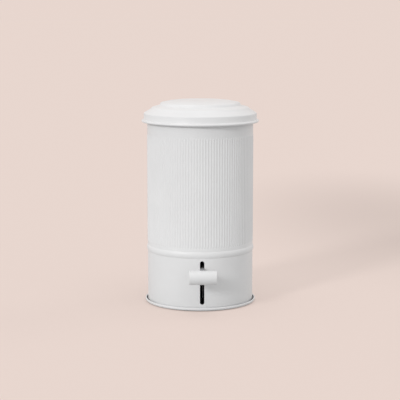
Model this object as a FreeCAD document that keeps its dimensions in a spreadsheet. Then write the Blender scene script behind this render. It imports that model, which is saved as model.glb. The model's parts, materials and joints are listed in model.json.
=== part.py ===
import FreeCAD, Part
import math
import os
from collections import namedtuple

import Sketcher

# A round pedal bin of sheet steel. Lengths are in millimetres and angles in degrees.
# The origin lies on the floor at the axis of the shell, +Z is up and the pedal points to -Y.
# Pressing the pedal tips a lever inside the foot, whose tail lifts a rod up the back of the
# shell, and the rod swings the lid on its hinge. A bucket with a bail stands on a shelf inside.

SIZES = (
    # The clearances that the pieces share, and how far a cut runs past what it cuts.
    ("seat_clearance", "0.05"),
    ("turn_clearance", "0.08"),
    ("slide_clearance", "0.3"),
    ("rest_gap", "0.3"),
    ("overrun", "6"),
    # Sheet of the shell, lid and pan.
    ("sheet", "0.8"),
    # The ring that the bin stands on and the pan above it.
    ("foot_thickness", "1.5"),
    ("foot_width", "16"),
    ("foot_inset", "7.2"),
    ("pan_overhang", "5.2"),
    ("pan_height", "6"),
    ("pan_bend", "2"),
    ("pan_curl", "1.2"),
    # The shell, with heights above the floor.
    ("shell_radius", "110"),
    ("shell_top", "391"),
    ("shell_flange", "7"),
    ("rim_curl", "1.4"),
    ("bead_height", "116.3"),
    ("bead_width", "15"),
    ("bead_depth", "1.8"),
    ("rib_start", "12.8"),
    ("rib_width", "3.6"),
    ("rib_depth", "1"),
    ("rib_count", "120"),
    ("collar_height", "38.6"),
    ("slot_width", "8.2"),
    ("slot_headroom", "13.7"),
    ("slot_footroom", "7.5"),
    ("window_clearance", "1.2"),
    # The shelf that the bucket stands on.
    ("shelf_thickness", "1"),
    # The pedal and its lever.
    ("pedal_height", "79"),
    ("pedal_reach", "46"),
    ("pedal_radius", "14"),
    ("pedal_length", "55"),
    ("pedal_round", "0.8"),
    ("pedal_angle", "19"),
    ("axle_radius", "4"),
    ("cap_depth", "3"),
    ("lever_width", "7.2"),
    ("lever_depth", "22"),
    ("lever_wall", "1.6"),
    ("lever_shoulder", "1"),
    ("tongue_depth", "14"),
    ("tongue_reach", "5.5"),
    ("tail_depth", "11"),
    ("tail_margin", "4.5"),
    # The lever's pivot on the pan.
    ("pivot_radius", "4"),
    ("bush_wall", "2"),
    ("bracket_sheet", "2"),
    ("bracket_length", "44"),
    ("bracket_flange", "15"),
    ("bracket_ear", "10"),
    ("ear_gap", "0.9"),
    ("clip_width", "4"),
    ("clip_thickness", "1.2"),
    ("pin_end", "1"),
    # Rivets.
    ("rivet_radius", "1.6"),
    ("rivet_head", "3.4"),
    ("rivet_crown", "2.2"),
    ("rivet_rise", "1.1"),
    ("rivet_seat", "0.1"),
    ("bracket_rivet_inset", "6.5"),
    ("hinge_rivet_pitch", "11"),
    ("lid_rivet_pitch", "26"),
    # The push rod and what guides it.
    ("rod_radius", "2"),
    ("rod_inset", "8.2"),
    ("rod_bend", "4.5"),
    ("rod_side_gap", "0.5"),
    ("grommet_wall", "1.5"),
    ("grommet_flange", "2"),
    ("grommet_lip", "1.2"),
    ("grommet_depth", "3"),
    ("guide_drop", "30"),
    ("guide_width", "16"),
    ("guide_height", "12"),
    ("guide_wall", "3"),
    # The lid, with heights above its shoulder or its edge.
    ("lid_overhang", "7.2"),
    ("lid_lap", "13.4"),
    ("lid_bead", "2.5"),
    ("skirt_height", "18.6"),
    ("shoulder_bend", "3"),
    ("first_foot_radius", "103.5"),
    ("first_foot_rise", "8.3"),
    ("first_top_radius", "100"),
    ("first_top_rise", "11.9"),
    ("second_foot_radius", "84.5"),
    ("second_foot_rise", "16"),
    ("second_top_radius", "82.2"),
    ("second_top_rise", "21.5"),
    ("crown_radius", "60"),
    ("crown_rise", "25.8"),
    ("flat_radius", "30"),
    ("lid_rise", "26.7"),
    ("step_foot_bend", "2"),
    ("step_top_bend", "4"),
    ("crown_bend", "60"),
    ("buffer_radius", "4"),
    ("buffer_count", "3"),
    # The hinge and the arm that the rod lifts.
    ("lid_angle", "76"),
    ("hinge_offset", "7.5"),
    ("hinge_drop", "7.6"),
    ("hinge_pin_radius", "2.5"),
    ("hinge_pin_head", "4"),
    ("hinge_head_height", "1.5"),
    ("barrel_radius", "4.6"),
    ("barrel_length", "18"),
    ("hinge_sheet", "1.8"),
    ("hinge_flange", "13"),
    ("hinge_ear", "5.5"),
    ("hinge_margin", "2.5"),
    ("hinge_side_gap", "0.4"),
    ("arm_thickness", "2"),
    ("arm_wall", "3"),
    ("arm_slot_gap", "1.5"),
    ("strap_sheet", "1.5"),
    ("strap_width", "38"),
    ("strap_foot", "2"),
    ("strap_top", "3"),
    # The bucket and its bail.
    ("bucket_wall", "1.8"),
    ("bucket_gap", "2"),
    ("bucket_headroom", "4"),
    ("bucket_base_radius", "78"),
    ("bucket_base_bend", "8"),
    ("rim_width", "1.8"),
    ("rim_depth", "7"),
    ("rim_bend", "1"),
    ("lug_width", "12"),
    ("lug_height", "11"),
    ("bail_drop", "11"),
    ("bail_radius", "2"),
    ("bail_gap", "2"),
    ("bail_corner", "3.5"),
    ("bail_flat", "6"),
    ("bail_hang_angle", "20"),
)

# The share that halves a size, and a full turn in degrees.
HALF_SHARE = 0.5
FULL_TURN = 360

doc = FreeCAD.newDocument("PedalBin")
sheet = doc.addObject("Spreadsheet::Sheet", "Sizes")
for row, (alias, number) in enumerate(SIZES, start=1):
    sheet.set(f"A{row}", number)
    sheet.setAlias(f"A{row}", alias)
doc.recompute()


def value_of(size):
    return size.value if isinstance(size, Size) else size


def text_of(size):
    return size.text if isinstance(size, Size) else repr(size)


class Size:
    """A size worked out from the sheet: its value and the expression that gives it."""

    def __init__(self, value, text):
        self.value = value
        self.text = text

    def __add__(self, other):
        return Size(self.value + value_of(other), f"({self.text} + {text_of(other)})")

    def __sub__(self, other):
        return Size(self.value - value_of(other), f"({self.text} - {text_of(other)})")

    def __mul__(self, other):
        return Size(self.value * value_of(other), f"({self.text} * {text_of(other)})")

    def __truediv__(self, other):
        return Size(self.value / value_of(other), f"({self.text} / {text_of(other)})")

    def __neg__(self):
        return Size(-self.value, f"(0 - {self.text})")


ZERO = Size(0.0, "0")


def size(alias):
    return Size(float(sheet.get(alias)), f"Sizes.{alias}")


def half(length):
    return length * HALF_SHARE


def sine(angle):
    return Size(math.sin(math.radians(angle.value)), f"sin({angle.text} * 1 deg)")


def cosine(angle):
    return Size(math.cos(math.radians(angle.value)), f"cos({angle.text} * 1 deg)")


def tangent(angle):
    return Size(math.tan(math.radians(angle.value)), f"tan({angle.text} * 1 deg)")


def root(area):
    return Size(math.sqrt(area.value), f"sqrt({area.text})")


def leg(longest, other):
    """The other short side of a right-angled triangle."""
    return root(longest * longest - other * other)


# Rows of the sheet that are used often, by their own names.
seat_clearance = size("seat_clearance")
turn_clearance = size("turn_clearance")
slide_clearance = size("slide_clearance")
rest_gap = size("rest_gap")
overrun = size("overrun")
sheet_gauge = size("sheet")
foot_thickness = size("foot_thickness")
shell_radius = size("shell_radius")
shell_top = size("shell_top")
bead_height = size("bead_height")
pedal_height = size("pedal_height")
pedal_angle = size("pedal_angle")
lever_width = size("lever_width")
lever_depth = size("lever_depth")
rod_radius = size("rod_radius")
hinge_sheet = size("hinge_sheet")
hinge_pin_radius = size("hinge_pin_radius")
bracket_sheet = size("bracket_sheet")
rivet_seat = size("rivet_seat")
pivot_radius = size("pivot_radius")
strap_sheet = size("strap_sheet")
bucket_wall = size("bucket_wall")
bail_radius = size("bail_radius")

# Levels and radii that several pieces share.
plate_top = foot_thickness + sheet_gauge
pan_radius = shell_radius + size("pan_overhang")
pan_top = foot_thickness + size("pan_height")
shell_inner = shell_radius - sheet_gauge
rim_middle = shell_radius - half(sheet_gauge)
rib_top = shell_top - size("collar_height")
shelf_top = bead_height + half(size("shelf_thickness"))
shelf_bottom = bead_height - half(size("shelf_thickness"))
lid_radius = shell_radius + size("lid_overhang")
lid_inner = lid_radius - sheet_gauge
lid_edge = shell_top - size("lid_lap")
lid_shoulder = lid_edge + size("skirt_height")

# The linkage. The rod stays upright, and its hooks ride in slots in the lever and in the arm.
hinge_setback = shell_radius + size("hinge_offset")
hinge_height = lid_edge - size("hinge_drop")
rod_setback = shell_inner - size("rod_inset")
rod_side = half(lever_width) + size("rod_bend") + size("rod_side_gap")
half_lid = half(size("lid_angle"))
half_pedal = half(pedal_angle)
crank_throw = hinge_setback - rod_setback
rod_rise = crank_throw * tangent(half_lid)
tail_run = rod_rise / tangent(half_pedal)
pivot_setback = rod_setback - tail_run
hook_low = pedal_height - rod_rise
hook_high = hinge_height - rod_rise
hook_stray = crank_throw * (half(tangent(half_lid)) - tangent(half(half_lid)))
arm_slot_half = rod_radius + hook_stray + slide_clearance
arm_half = arm_slot_half + size("arm_wall")
arm_far = crank_throw / cosine(half_lid)
pedal_setback = shell_radius + size("pedal_reach")
tongue_half = half(size("tongue_depth"))
bore_radius = pivot_radius + turn_clearance
bush_radius = pivot_radius + size("bush_wall")
ear_inner = half(lever_width) + size("ear_gap")
ear_outer = ear_inner + bracket_sheet

# The slot that the lever moves in and the window that the lid's arm moves in.
lever_drop = (shell_radius + pivot_setback) * tangent(pedal_angle)
slot_top = pedal_height + half(lever_depth) + size("slot_headroom")
slot_low_edge = pedal_height - lever_drop - half(lever_depth) / cosine(pedal_angle)
slot_bottom = slot_low_edge - size("slot_footroom")
wall_to_hinge = size("hinge_offset") + sheet_gauge
window_half = wall_to_hinge * tangent(half_lid) + arm_half / cosine(half_lid) + size("window_clearance")
window_width = size("arm_thickness") + size("arm_slot_gap") * 2

# The bucket keeps below and in front of the lid's arm.
bucket_rim = rod_setback - arm_half - size("bucket_gap")
bucket_top = hook_high - arm_half - size("bucket_headroom")
bucket_bottom = shelf_top + rest_gap
bucket_shoulder = bucket_top - bucket_wall
bucket_neck = bucket_rim - bucket_wall - size("rim_width")
bail_height = bucket_top - size("bail_drop")
bail_reach = bucket_rim + size("bail_gap") + bail_radius
bucket_slope = (bucket_neck - size("bucket_base_radius")) / (bucket_shoulder - bucket_bottom)
lug_root = size("bucket_base_radius") + (bail_height - bucket_bottom) * bucket_slope
lug_face = bail_reach - size("bail_corner") - rest_gap


Corner = namedtuple("Corner", "across up bend bulge", defaults=(None, None))


def bulge_centre(start, end, bulge):
    """Centre of the arc between two corners that stands out to the right of its chord."""
    across = end.across - start.across
    up = end.up - start.up
    chord = root(across * across + up * up)
    setback = half(half(chord) * half(chord) / bulge - bulge)
    return Corner(
        half(start.across + end.across) - up / chord * setback,
        half(start.up + end.up) + across / chord * setback,
    )


# In a sketch, a side's start is point 1, its end point 2 and an arc's centre point 3.
# The sketch's own origin is point 1 of element -1.
def draw_bulge(sketch, rows, start, end, bulge):
    """Draw an arc that bulges to the right of its way from one corner to another."""
    middle = bulge_centre(start, end, bulge)
    centre = FreeCAD.Vector(middle.across.value, middle.up.value, 0)
    first = FreeCAD.Vector(start.across.value, start.up.value, 0) - centre
    last = FreeCAD.Vector(end.across.value, end.up.value, 0) - centre
    circle = Part.Circle(centre, FreeCAD.Vector(0, 0, 1), first.Length)
    angles = (math.atan2(first.y, first.x), math.atan2(last.y, last.x))
    arc = sketch.addGeometry(Part.ArcOfCircle(circle, *angles))
    way = last - first
    name, bound = ("DistanceX", middle.across) if abs(way.y) > abs(way.x) else ("DistanceY", middle.up)
    rows.append((Sketcher.Constraint(name, -1, 1, arc, 3, bound.value), bound))


def draw_bend(sketch, spot, before, after, radius):
    """Draw the arc that rounds a corner. Returns its end points and whether it turns left."""
    way_in = (spot - before).normalize()
    way_out = (after - spot).normalize()
    turns_left = way_in.cross(way_out).z > 0
    reach = radius * math.tan(way_in.getAngle(way_out) * HALF_SHARE)
    touch_in = spot - way_in * reach
    touch_out = spot + way_out * reach
    side = 1 if turns_left else -1
    centre = touch_in + FreeCAD.Vector(-way_in.y, way_in.x, 0) * (side * radius)
    first, last = (touch_in, touch_out) if turns_left else (touch_out, touch_in)
    circle = Part.Circle(centre, FreeCAD.Vector(0, 0, 1), radius)
    start_angle = math.atan2(first.y - centre.y, first.x - centre.x)
    end_angle = math.atan2(last.y - centre.y, last.x - centre.x)
    sketch.addGeometry(Part.ArcOfCircle(circle, start_angle, end_angle))
    return touch_in, touch_out, turns_left


def fix_point(rows, element, point, corner):
    """Constrain a point of the sketch to a corner's two sizes."""
    across = Sketcher.Constraint("DistanceX", -1, 1, element, point, corner.across.value)
    up = Sketcher.Constraint("DistanceY", -1, 1, element, point, corner.up.value)
    rows.append((across, corner.across))
    rows.append((up, corner.up))


def bind_rows(sketch, rows):
    first = sketch.ConstraintCount
    sketch.addConstraint([constraint for constraint, _ in rows])
    for index, (_, bound) in enumerate(rows, start=first):
        if bound is not None:
            sketch.setExpression(f"Constraints[{index}]", bound.text)


def draw(sketch, corners, closed=True):
    """Draw an outline through its corners, each bound to the sheet, with its bends and bulges."""
    count = len(corners)
    sides = count if closed else count - 1
    spots = [FreeCAD.Vector(corner.across.value, corner.up.value, 0) for corner in corners]
    begins = [spots[side] for side in range(sides)]
    ends = [spots[(side + 1) % count] for side in range(sides)]
    rows = []
    bends = {}
    for index, corner in enumerate(corners):
        if corner.bend is not None:
            after = spots[(index + 1) % count]
            shaped = draw_bend(sketch, spots[index], spots[index - 1], after, corner.bend.value)
            bends[index] = (sketch.GeometryCount - 1, shaped[2])
            ends[index - 1] = shaped[0]
            begins[index] = shaped[1]
            rows.append((Sketcher.Constraint("Radius", bends[index][0], corner.bend.value), corner.bend))
    first_side = sketch.GeometryCount
    heads = [1] * sides
    for side in range(sides):
        corner = corners[side]
        if corner.bulge is None:
            sketch.addGeometry(Part.LineSegment(begins[side], ends[side]))
            continue
        following = corners[(side + 1) % count]
        hollow = corner.bulge.value < 0
        if hollow:
            draw_bulge(sketch, rows, following, corner, -corner.bulge)
        else:
            draw_bulge(sketch, rows, corner, following, corner.bulge)
        heads[side] = 2 if hollow else 1
    for index, corner in enumerate(corners):
        last = not closed and index == count - 1
        before = first_side + (index - 1) % count
        after = first_side + index
        tail = 3 - heads[(index - 1) % sides]
        head = 1 if last else heads[index]
        if index in bends:
            arc, turns_left = bends[index]
            start, end = (1, 2) if turns_left else (2, 1)
            rows.append((Sketcher.Constraint("Tangent", before, tail, arc, start), None))
            rows.append((Sketcher.Constraint("Tangent", arc, end, after, head), None))
            mark = sketch.addGeometry(Part.Point(spots[index]), True)
            rows.append((Sketcher.Constraint("PointOnObject", mark, 1, before), None))
            rows.append((Sketcher.Constraint("PointOnObject", mark, 1, after), None))
            fix_point(rows, mark, 1, corner)
        elif last:
            fix_point(rows, before, tail, corner)
        else:
            if closed or index > 0:
                rows.append((Sketcher.Constraint("Coincident", before, tail, after, head), None))
            fix_point(rows, after, head, corner)
    bind_rows(sketch, rows)


def draw_circle(sketch, across, up, radius):
    centre = FreeCAD.Vector(across.value, up.value, 0)
    circle = sketch.addGeometry(Part.Circle(centre, FreeCAD.Vector(0, 0, 1), radius.value))
    rows = [(Sketcher.Constraint("Radius", circle, radius.value), radius)]
    fix_point(rows, circle, 3, Corner(across, up))
    bind_rows(sketch, rows)


def rectangle(left, right, low, high):
    return [Corner(left, low), Corner(right, low), Corner(right, high), Corner(left, high)]


def stadium(start, end, radius):
    """Outline with round ends about two centres, each given as across and up."""
    way = (end[0] - start[0], end[1] - start[1])
    length = root(way[0] * way[0] + way[1] * way[1])
    side = (way[1] / length * radius, -way[0] / length * radius)
    return [
        Corner(start[0] + side[0], start[1] + side[1]),
        Corner(end[0] + side[0], end[1] + side[1], bulge=radius),
        Corner(end[0] - side[0], end[1] - side[1]),
        Corner(start[0] - side[0], start[1] - side[1], bulge=radius),
    ]


def bind(item, name, bound):
    item.setExpression(name, bound.text)


def new_body(label):
    body = doc.addObject("PartDesign::Body", label)
    body.Label = label
    return body


def new_sketch(body, role, start=None):
    """A sketch on one of the body's planes, moved along the plane's normal by start."""
    sketch = body.newObject("Sketcher::SketchObject", f"{body.Name}_sketch")
    plane = next(item for item in body.Origin.OriginFeatures if item.Role == role)
    sketch.AttachmentSupport = [(plane, "")]
    sketch.MapMode = "FlatFace"
    if start is not None:
        bind(sketch, "AttachmentOffset.Base.z", start)
    return sketch


def pad(body, sketch, length, symmetric=False):
    feature = body.newObject("PartDesign::Pad", f"{body.Name}_pad")
    feature.Profile = sketch
    feature.SideType = "Symmetric" if symmetric else "One side"
    bind(feature, "Length", length)
    doc.recompute()
    return feature


def pocket(body, sketch, length):
    """Cut a sketch to both sides of its plane, over a whole length that the plane halves."""
    before = body.Shape.Volume
    feature = body.newObject("PartDesign::Pocket", f"{body.Name}_pocket")
    feature.Profile = sketch
    feature.SideType = "Symmetric"
    bind(feature, "Length", length)
    doc.recompute()
    if not body.Shape.Volume < before:
        raise RuntimeError(f"{feature.Name} cuts nothing")
    return feature


def revolve(body, sketch):
    feature = body.newObject("PartDesign::Revolution", f"{body.Name}_revolution")
    feature.Profile = sketch
    feature.ReferenceAxis = (sketch, ["V_Axis"])
    feature.Angle = FULL_TURN
    doc.recompute()
    return feature


def prism(label, role, corners, start, length):
    """A body made of one outline, drawn out from start along the plane's normal."""
    body = new_body(label)
    sketch = new_sketch(body, role, start)
    draw(sketch, corners)
    pad(body, sketch, length)
    return body


def turned(label, corners):
    """A body made of one outline, turned about the Z axis."""
    body = new_body(label)
    sketch = new_sketch(body, "XZ_Plane")
    draw(sketch, corners)
    revolve(body, sketch)
    return body


def formed(label, corners, gauge):
    """A sheet of even gauge inside an open outline, turned about the Z axis."""
    line = doc.addObject("Sketcher::SketchObject", f"{label}_line")
    line.Placement = FreeCAD.Placement(FreeCAD.Vector(), FreeCAD.Rotation(FreeCAD.Vector(1, 0, 0), 90))
    draw(line, corners, closed=False)
    doc.recompute()
    section = doc.addObject("Part::Offset2D", f"{label}_section")
    section.Source = line
    section.Mode = "Skin"
    section.Join = "Intersection"
    section.Fill = True
    bind(section, "Value", gauge)
    turn = doc.addObject("Part::Revolution", label)
    turn.Source = section
    turn.Axis = FreeCAD.Vector(0, 0, 1)
    turn.Angle = FULL_TURN
    turn.Solid = True
    doc.recompute()
    return turn


TURNS = {
    "X": FreeCAD.Rotation(FreeCAD.Vector(0, 1, 0), 90),
    "Y": FreeCAD.Rotation(FreeCAD.Vector(1, 0, 0), -90),
    "Z": FreeCAD.Rotation(),
}


def place(item, spot, rotation):
    """Turn a primitive and bind the place of its base."""
    item.Placement = FreeCAD.Placement(FreeCAD.Vector(), rotation)
    for axis, bound in zip("xyz", spot):
        bind(item, f"Placement.Base.{axis}", bound)
    return item


def cylinder(label, radius, length, spot, axis="Z"):
    item = doc.addObject("Part::Cylinder", label)
    bind(item, "Radius", radius)
    bind(item, "Height", length)
    return place(item, spot, TURNS[axis])


def box(label, low, high):
    item = doc.addObject("Part::Box", label)
    for name, start, end in zip(("Length", "Width", "Height"), low, high):
        bind(item, name, end - start)
    return place(item, low, TURNS["Z"])


def torus(label, ring_radius, tube_radius, height):
    item = doc.addObject("Part::Torus", label)
    bind(item, "Radius1", ring_radius)
    bind(item, "Radius2", tube_radius)
    return place(item, (ZERO, ZERO, height), TURNS["Z"])


def fuse(label, items):
    item = doc.addObject("Part::MultiFuse", label)
    item.Shapes = items
    return item


def group(label, items):
    item = doc.addObject("Part::Compound", label)
    item.Links = items
    return item


def cut(label, base, tools):
    item = doc.addObject("Part::Cut", label)
    item.Base = base
    item.Tool = tools[0] if len(tools) == 1 else group(f"{label}_tools", tools)
    return item


def common(label, first, second):
    item = doc.addObject("Part::Common", label)
    item.Base = first
    item.Tool = second
    return item


def ring(label, inner, outer, bottom, height):
    """An upright tube about the Z axis."""
    return turned(label, rectangle(inner, outer, bottom, bottom + height))


def washer(label, inner, outer, start, thickness, setback, height):
    """A flat ring whose axis runs along X."""
    spot = (start, setback, height)
    cut_spot = (start - overrun, setback, height)
    disc = cylinder(f"{label}_disc", outer, thickness, spot, "X")
    hole = cylinder(f"{label}_hole", inner, thickness + overrun * 2, cut_spot, "X")
    return cut(label, disc, [hole])


def rivet(label, spot, rotation, grip):
    """A shank over its grip, with a crowned head at each end. Its base is the grip's start."""
    head = size("rivet_head")
    crown = size("rivet_crown")
    rise = size("rivet_rise")
    direction = rotation.multVec(FreeCAD.Vector(0, 0, 1))
    shank = doc.addObject("Part::Cylinder", f"{label}_shank")
    bind(shank, "Radius", size("rivet_radius"))
    bind(shank, "Height", grip)
    place(shank, spot, rotation)
    ends = []
    for name, start, wide_end, narrow_end in (("tail", -rise, crown, head), ("head", grip, head, crown)):
        end = doc.addObject("Part::Cone", f"{label}_{name}")
        bind(end, "Radius1", wide_end)
        bind(end, "Radius2", narrow_end)
        bind(end, "Height", rise)
        moved = [at + start * part for at, part in zip(spot, direction)]
        ends.append(place(end, moved, rotation))
    return fuse(label, [shank] + ends)


def rivet_hole(label, spot, rotation, depth):
    """The hole for a rivet's shank, run past both faces of its grip."""
    direction = rotation.multVec(FreeCAD.Vector(0, 0, 1))
    item = doc.addObject("Part::Cylinder", label)
    bind(item, "Radius", size("rivet_radius") + seat_clearance)
    bind(item, "Height", depth + overrun * 2)
    moved = [at - overrun * part for at, part in zip(spot, direction)]
    return place(item, moved, rotation)


def pipe(label, path_body, path, radius, profile_role, centre, start):
    """A round wire swept along a path that is drawn in the same body."""
    profile = new_sketch(path_body, profile_role, start)
    draw_circle(profile, centre[0], centre[1], radius)
    feature = path_body.newObject("PartDesign::AdditivePipe", f"{label}_pipe")
    feature.Profile = profile
    feature.Spine = path
    feature.Transition = "Right corner"
    doc.recompute()
    return path_body


# Rivet places: each is a base point, the way the shank points and the grip's depth.
def bracket_rivet_places():
    inset = size("bracket_rivet_inset")
    across = ear_outer + size("bracket_flange") - inset
    along = half(size("bracket_length")) - inset
    for side in (-1, 1):
        for end in (-1, 1):
            spot = (across * side, pivot_setback + along * end, foot_thickness)
            yield spot, TURNS["Z"], sheet_gauge + bracket_sheet


def radial_place(across, radius, height):
    """A point on a cylinder about Z, on its rear side, and the way out from the axis there."""
    along = leg(radius, across)
    outwards = FreeCAD.Vector(across.value, along.value, 0)
    return (across, along, height), FreeCAD.Rotation(FreeCAD.Vector(0, 0, 1), outwards)


def hinge_rivet_places():
    across = hinge_ear_inner + hinge_sheet + half(size("hinge_flange"))
    middle = half(hinge_bracket_low + hinge_bracket_high)
    rise = half(size("hinge_rivet_pitch"))
    for side in (-1, 1):
        for end in (-1, 1):
            spot, rotation = radial_place(across * side, shell_inner - rivet_seat, middle + rise * end)
            yield spot, rotation, rivet_seat + sheet_gauge + seat_clearance + hinge_sheet


def lid_rivet_places():
    middle = half(lid_edge + size("lid_bead") * 2 + strap_high)
    across = half(size("lid_rivet_pitch"))
    for side in (-1, 1):
        spot, rotation = radial_place(across * side, strap_inner - rivet_seat, middle)
        yield spot, rotation, rivet_seat + strap_sheet + seat_clearance + sheet_gauge


hinge_ear_inner = half(size("barrel_length")) + size("hinge_side_gap")
hinge_ear_outer = hinge_ear_inner + hinge_sheet
hinge_bracket_low = rib_top + size("hinge_margin")
hinge_bracket_high = lid_edge - size("hinge_margin")
strap_outer = lid_inner - seat_clearance
strap_inner = strap_outer - strap_sheet
strap_low = lid_edge + size("strap_foot")
strap_high = lid_shoulder - size("strap_top")


def rivets(label, places):
    items = [rivet(f"{label}_{index}", *spot) for index, spot in enumerate(places)]
    return group(label, items)


def rivet_holes(label, places):
    return [rivet_hole(f"{label}_{index}", *spot) for index, spot in enumerate(places)]


def foot_ring():
    outer = pan_radius - size("foot_inset")
    return ring("foot_ring", outer - size("foot_width"), outer, ZERO, foot_thickness)


def base_pan():
    """A flat plate with an upright wall whose top edge is rolled."""
    curl = size("pan_curl")
    wall = pan_radius - curl + half(sheet_gauge)
    curl_height = pan_top - curl
    line = [
        Corner(ZERO, foot_thickness),
        Corner(wall, foot_thickness, bend=size("pan_bend")),
        Corner(wall, curl_height),
    ]
    plate = formed("pan_plate", line, sheet_gauge)
    roll = torus("pan_roll", pan_radius - curl, curl, curl_height)
    return cut("base_pan", fuse("pan_blank", [plate, roll]), rivet_holes("pan_hole", bracket_rivet_places()))


def body_shell():
    """The rolled shell: foot flange, bead, ribs and rim, then the pedal's slot and the arm's window."""
    bead_low = bead_height - half(size("bead_width"))
    bead_high = bead_height + half(size("bead_width"))
    bead_depth = size("bead_depth")
    flange = shell_radius - size("shell_flange")
    rim_height = shell_top - size("rim_curl")
    body = new_body("shell_blank")
    wall = new_sketch(body, "XZ_Plane")
    outer = [
        Corner(flange, plate_top),
        Corner(shell_radius, plate_top),
        Corner(shell_radius, bead_low, bulge=bead_depth),
        Corner(shell_radius, bead_high),
        Corner(shell_radius, rim_height),
    ]
    inner = [
        Corner(shell_inner, rim_height),
        Corner(shell_inner, bead_high, bulge=-bead_depth),
        Corner(shell_inner, bead_low),
        Corner(shell_inner, plate_top + sheet_gauge),
        Corner(flange, plate_top + sheet_gauge),
    ]
    draw(wall, outer + inner)
    revolve(body, wall)
    rib_low = bead_height + size("rib_start")
    rib = new_sketch(body, "XY_Plane", rib_low)
    half_rib = half(size("rib_width"))
    rib_root = leg(rim_middle, half_rib)
    rib_bulge = shell_radius + size("rib_depth") - rib_root
    draw(rib, [Corner(rib_root, -half_rib, bulge=rib_bulge), Corner(rib_root, half_rib)])
    one_rib = pad(body, rib, rib_top - rib_low)
    ribs = body.newObject("PartDesign::PolarPattern", "shell_ribs")
    ribs.Originals = [one_rib]
    ribs.Axis = (rib, ["N_Axis"])
    ribs.Angle = FULL_TURN
    bind(ribs, "Occurrences", size("rib_count"))
    body.Tip = ribs
    doc.recompute()
    roll = torus("shell_roll", rim_middle, size("rim_curl"), rim_height)
    blank = fuse("shell_fused", [body, roll])
    slot_end = half(size("slot_width"))
    slot_line = stadium((ZERO, slot_bottom + slot_end), (ZERO, slot_top - slot_end), slot_end)
    slot = prism("shell_slot", "XZ_Plane", slot_line, shell_inner - overrun, overrun * 2)
    window_end = half(window_width)
    window_low = hinge_height - window_half + window_end
    window_high = hinge_height + window_half - window_end
    window_line = stadium((ZERO, window_low), (ZERO, window_high), window_end)
    window = prism("shell_window", "XZ_Plane", window_line, -shell_inner - overrun, overrun * 2)
    holes = rivet_holes("shell_hole", hinge_rivet_places())
    return cut("body_shell", blank, [slot, window] + holes)


def bucket_shelf():
    """A plate whose edge is locked in the shell's bead, with the hole for the rod's grommet."""
    radius = shell_inner + size("bead_depth") - rest_gap
    plate = cylinder("shelf_plate", radius, size("shelf_thickness"), (ZERO, ZERO, shelf_bottom))
    hole_spot = (-rod_side, rod_setback, shelf_bottom - overrun)
    hole = cylinder("shelf_hole", grommet_radius() + seat_clearance, overrun * 2, hole_spot)
    return cut("bucket_shelf", plate, [hole])


def grommet_radius():
    return rod_radius + slide_clearance + size("grommet_wall")


def rod_grommet():
    lip = size("grommet_lip")
    depth = size("grommet_depth")
    bottom = shelf_bottom - depth
    barrel_spot = (-rod_side, rod_setback, bottom)
    barrel = cylinder("grommet_barrel", grommet_radius(), shelf_top - bottom, barrel_spot)
    flange_radius = grommet_radius() + size("grommet_flange")
    flange = cylinder("grommet_lip_ring", flange_radius, lip, (-rod_side, rod_setback, shelf_top))
    bore_spot = (-rod_side, rod_setback, bottom - overrun)
    bore_length = shelf_top + lip - bottom + overrun * 2
    bore = cylinder("grommet_bore", rod_radius + slide_clearance, bore_length, bore_spot)
    return cut("rod_grommet", fuse("grommet_blank", [barrel, flange]), [bore])


def rod_guide():
    """A block on the shell's rear wall, curved to fit it, with the rod's hole."""
    top = hook_high - size("guide_drop")
    bottom = top - size("guide_height")
    half_width = half(size("guide_width"))
    front = rod_setback - rod_radius - slide_clearance - size("guide_wall")
    block = box(
        "guide_block",
        (-rod_side - half_width, front, bottom),
        (-rod_side + half_width, shell_inner, top),
    )
    room = cylinder("guide_room", shell_inner - seat_clearance, shell_top, (ZERO, ZERO, ZERO))
    blank = common("guide_blank", block, room)
    hole_spot = (-rod_side, rod_setback, bottom - overrun)
    hole_length = size("guide_height") + overrun * 2
    hole = cylinder("guide_hole", rod_radius + slide_clearance, hole_length, hole_spot)
    return cut("rod_guide", blank, [hole])


def pivot_bracket():
    """A riveted foot plate with two ears that hold the lever's pin."""
    half_length = half(size("bracket_length"))
    ear = size("bracket_ear")
    foot_half = ear_outer + size("bracket_flange")
    foot = box(
        "bracket_foot",
        (-foot_half, pivot_setback - half_length, plate_top),
        (foot_half, pivot_setback + half_length, plate_top + bracket_sheet),
    )
    line = [
        Corner(pivot_setback - half_length, plate_top),
        Corner(pivot_setback + half_length, plate_top),
        Corner(pivot_setback + ear, pedal_height, bulge=ear),
        Corner(pivot_setback - ear, pedal_height),
    ]
    right = prism("bracket_right", "YZ_Plane", line, ear_inner, bracket_sheet)
    left = prism("bracket_left", "YZ_Plane", line, -ear_outer, bracket_sheet)
    hole_spot = (-ear_outer - overrun, pivot_setback, pedal_height)
    hole_length = (ear_outer + overrun) * 2
    hole = cylinder("bracket_bore", pivot_radius + seat_clearance, hole_length, hole_spot, "X")
    blank = fuse("bracket_blank", [foot, right, left])
    return cut("pivot_bracket", blank, [hole] + rivet_holes("bracket_hole", bracket_rivet_places()))


def clip_start():
    return ear_outer + seat_clearance


def pivot_pin():
    reach = clip_start() + size("clip_thickness") + size("pin_end")
    return cylinder("pivot_pin", pivot_radius, reach * 2, (-reach, pivot_setback, pedal_height), "X")


def pivot_clips():
    """A push-on clip at each end of the lever's pin."""
    inner = pivot_radius + seat_clearance
    outer = pivot_radius + size("clip_width")
    thickness = size("clip_thickness")
    starts = (clip_start(), -clip_start() - thickness)
    items = [
        washer(f"pivot_clip_{index}", inner, outer, start, thickness, pivot_setback, pedal_height)
        for index, start in enumerate(starts)
    ]
    return group("pivot_clips", items)


def pivot_bush():
    """The bush between lever and pin, kept clear of the ears at both ends."""
    reach = ear_inner - rest_gap
    return washer("pivot_bush", bore_radius, bush_radius, -reach, reach * 2, pivot_setback, pedal_height)


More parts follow.
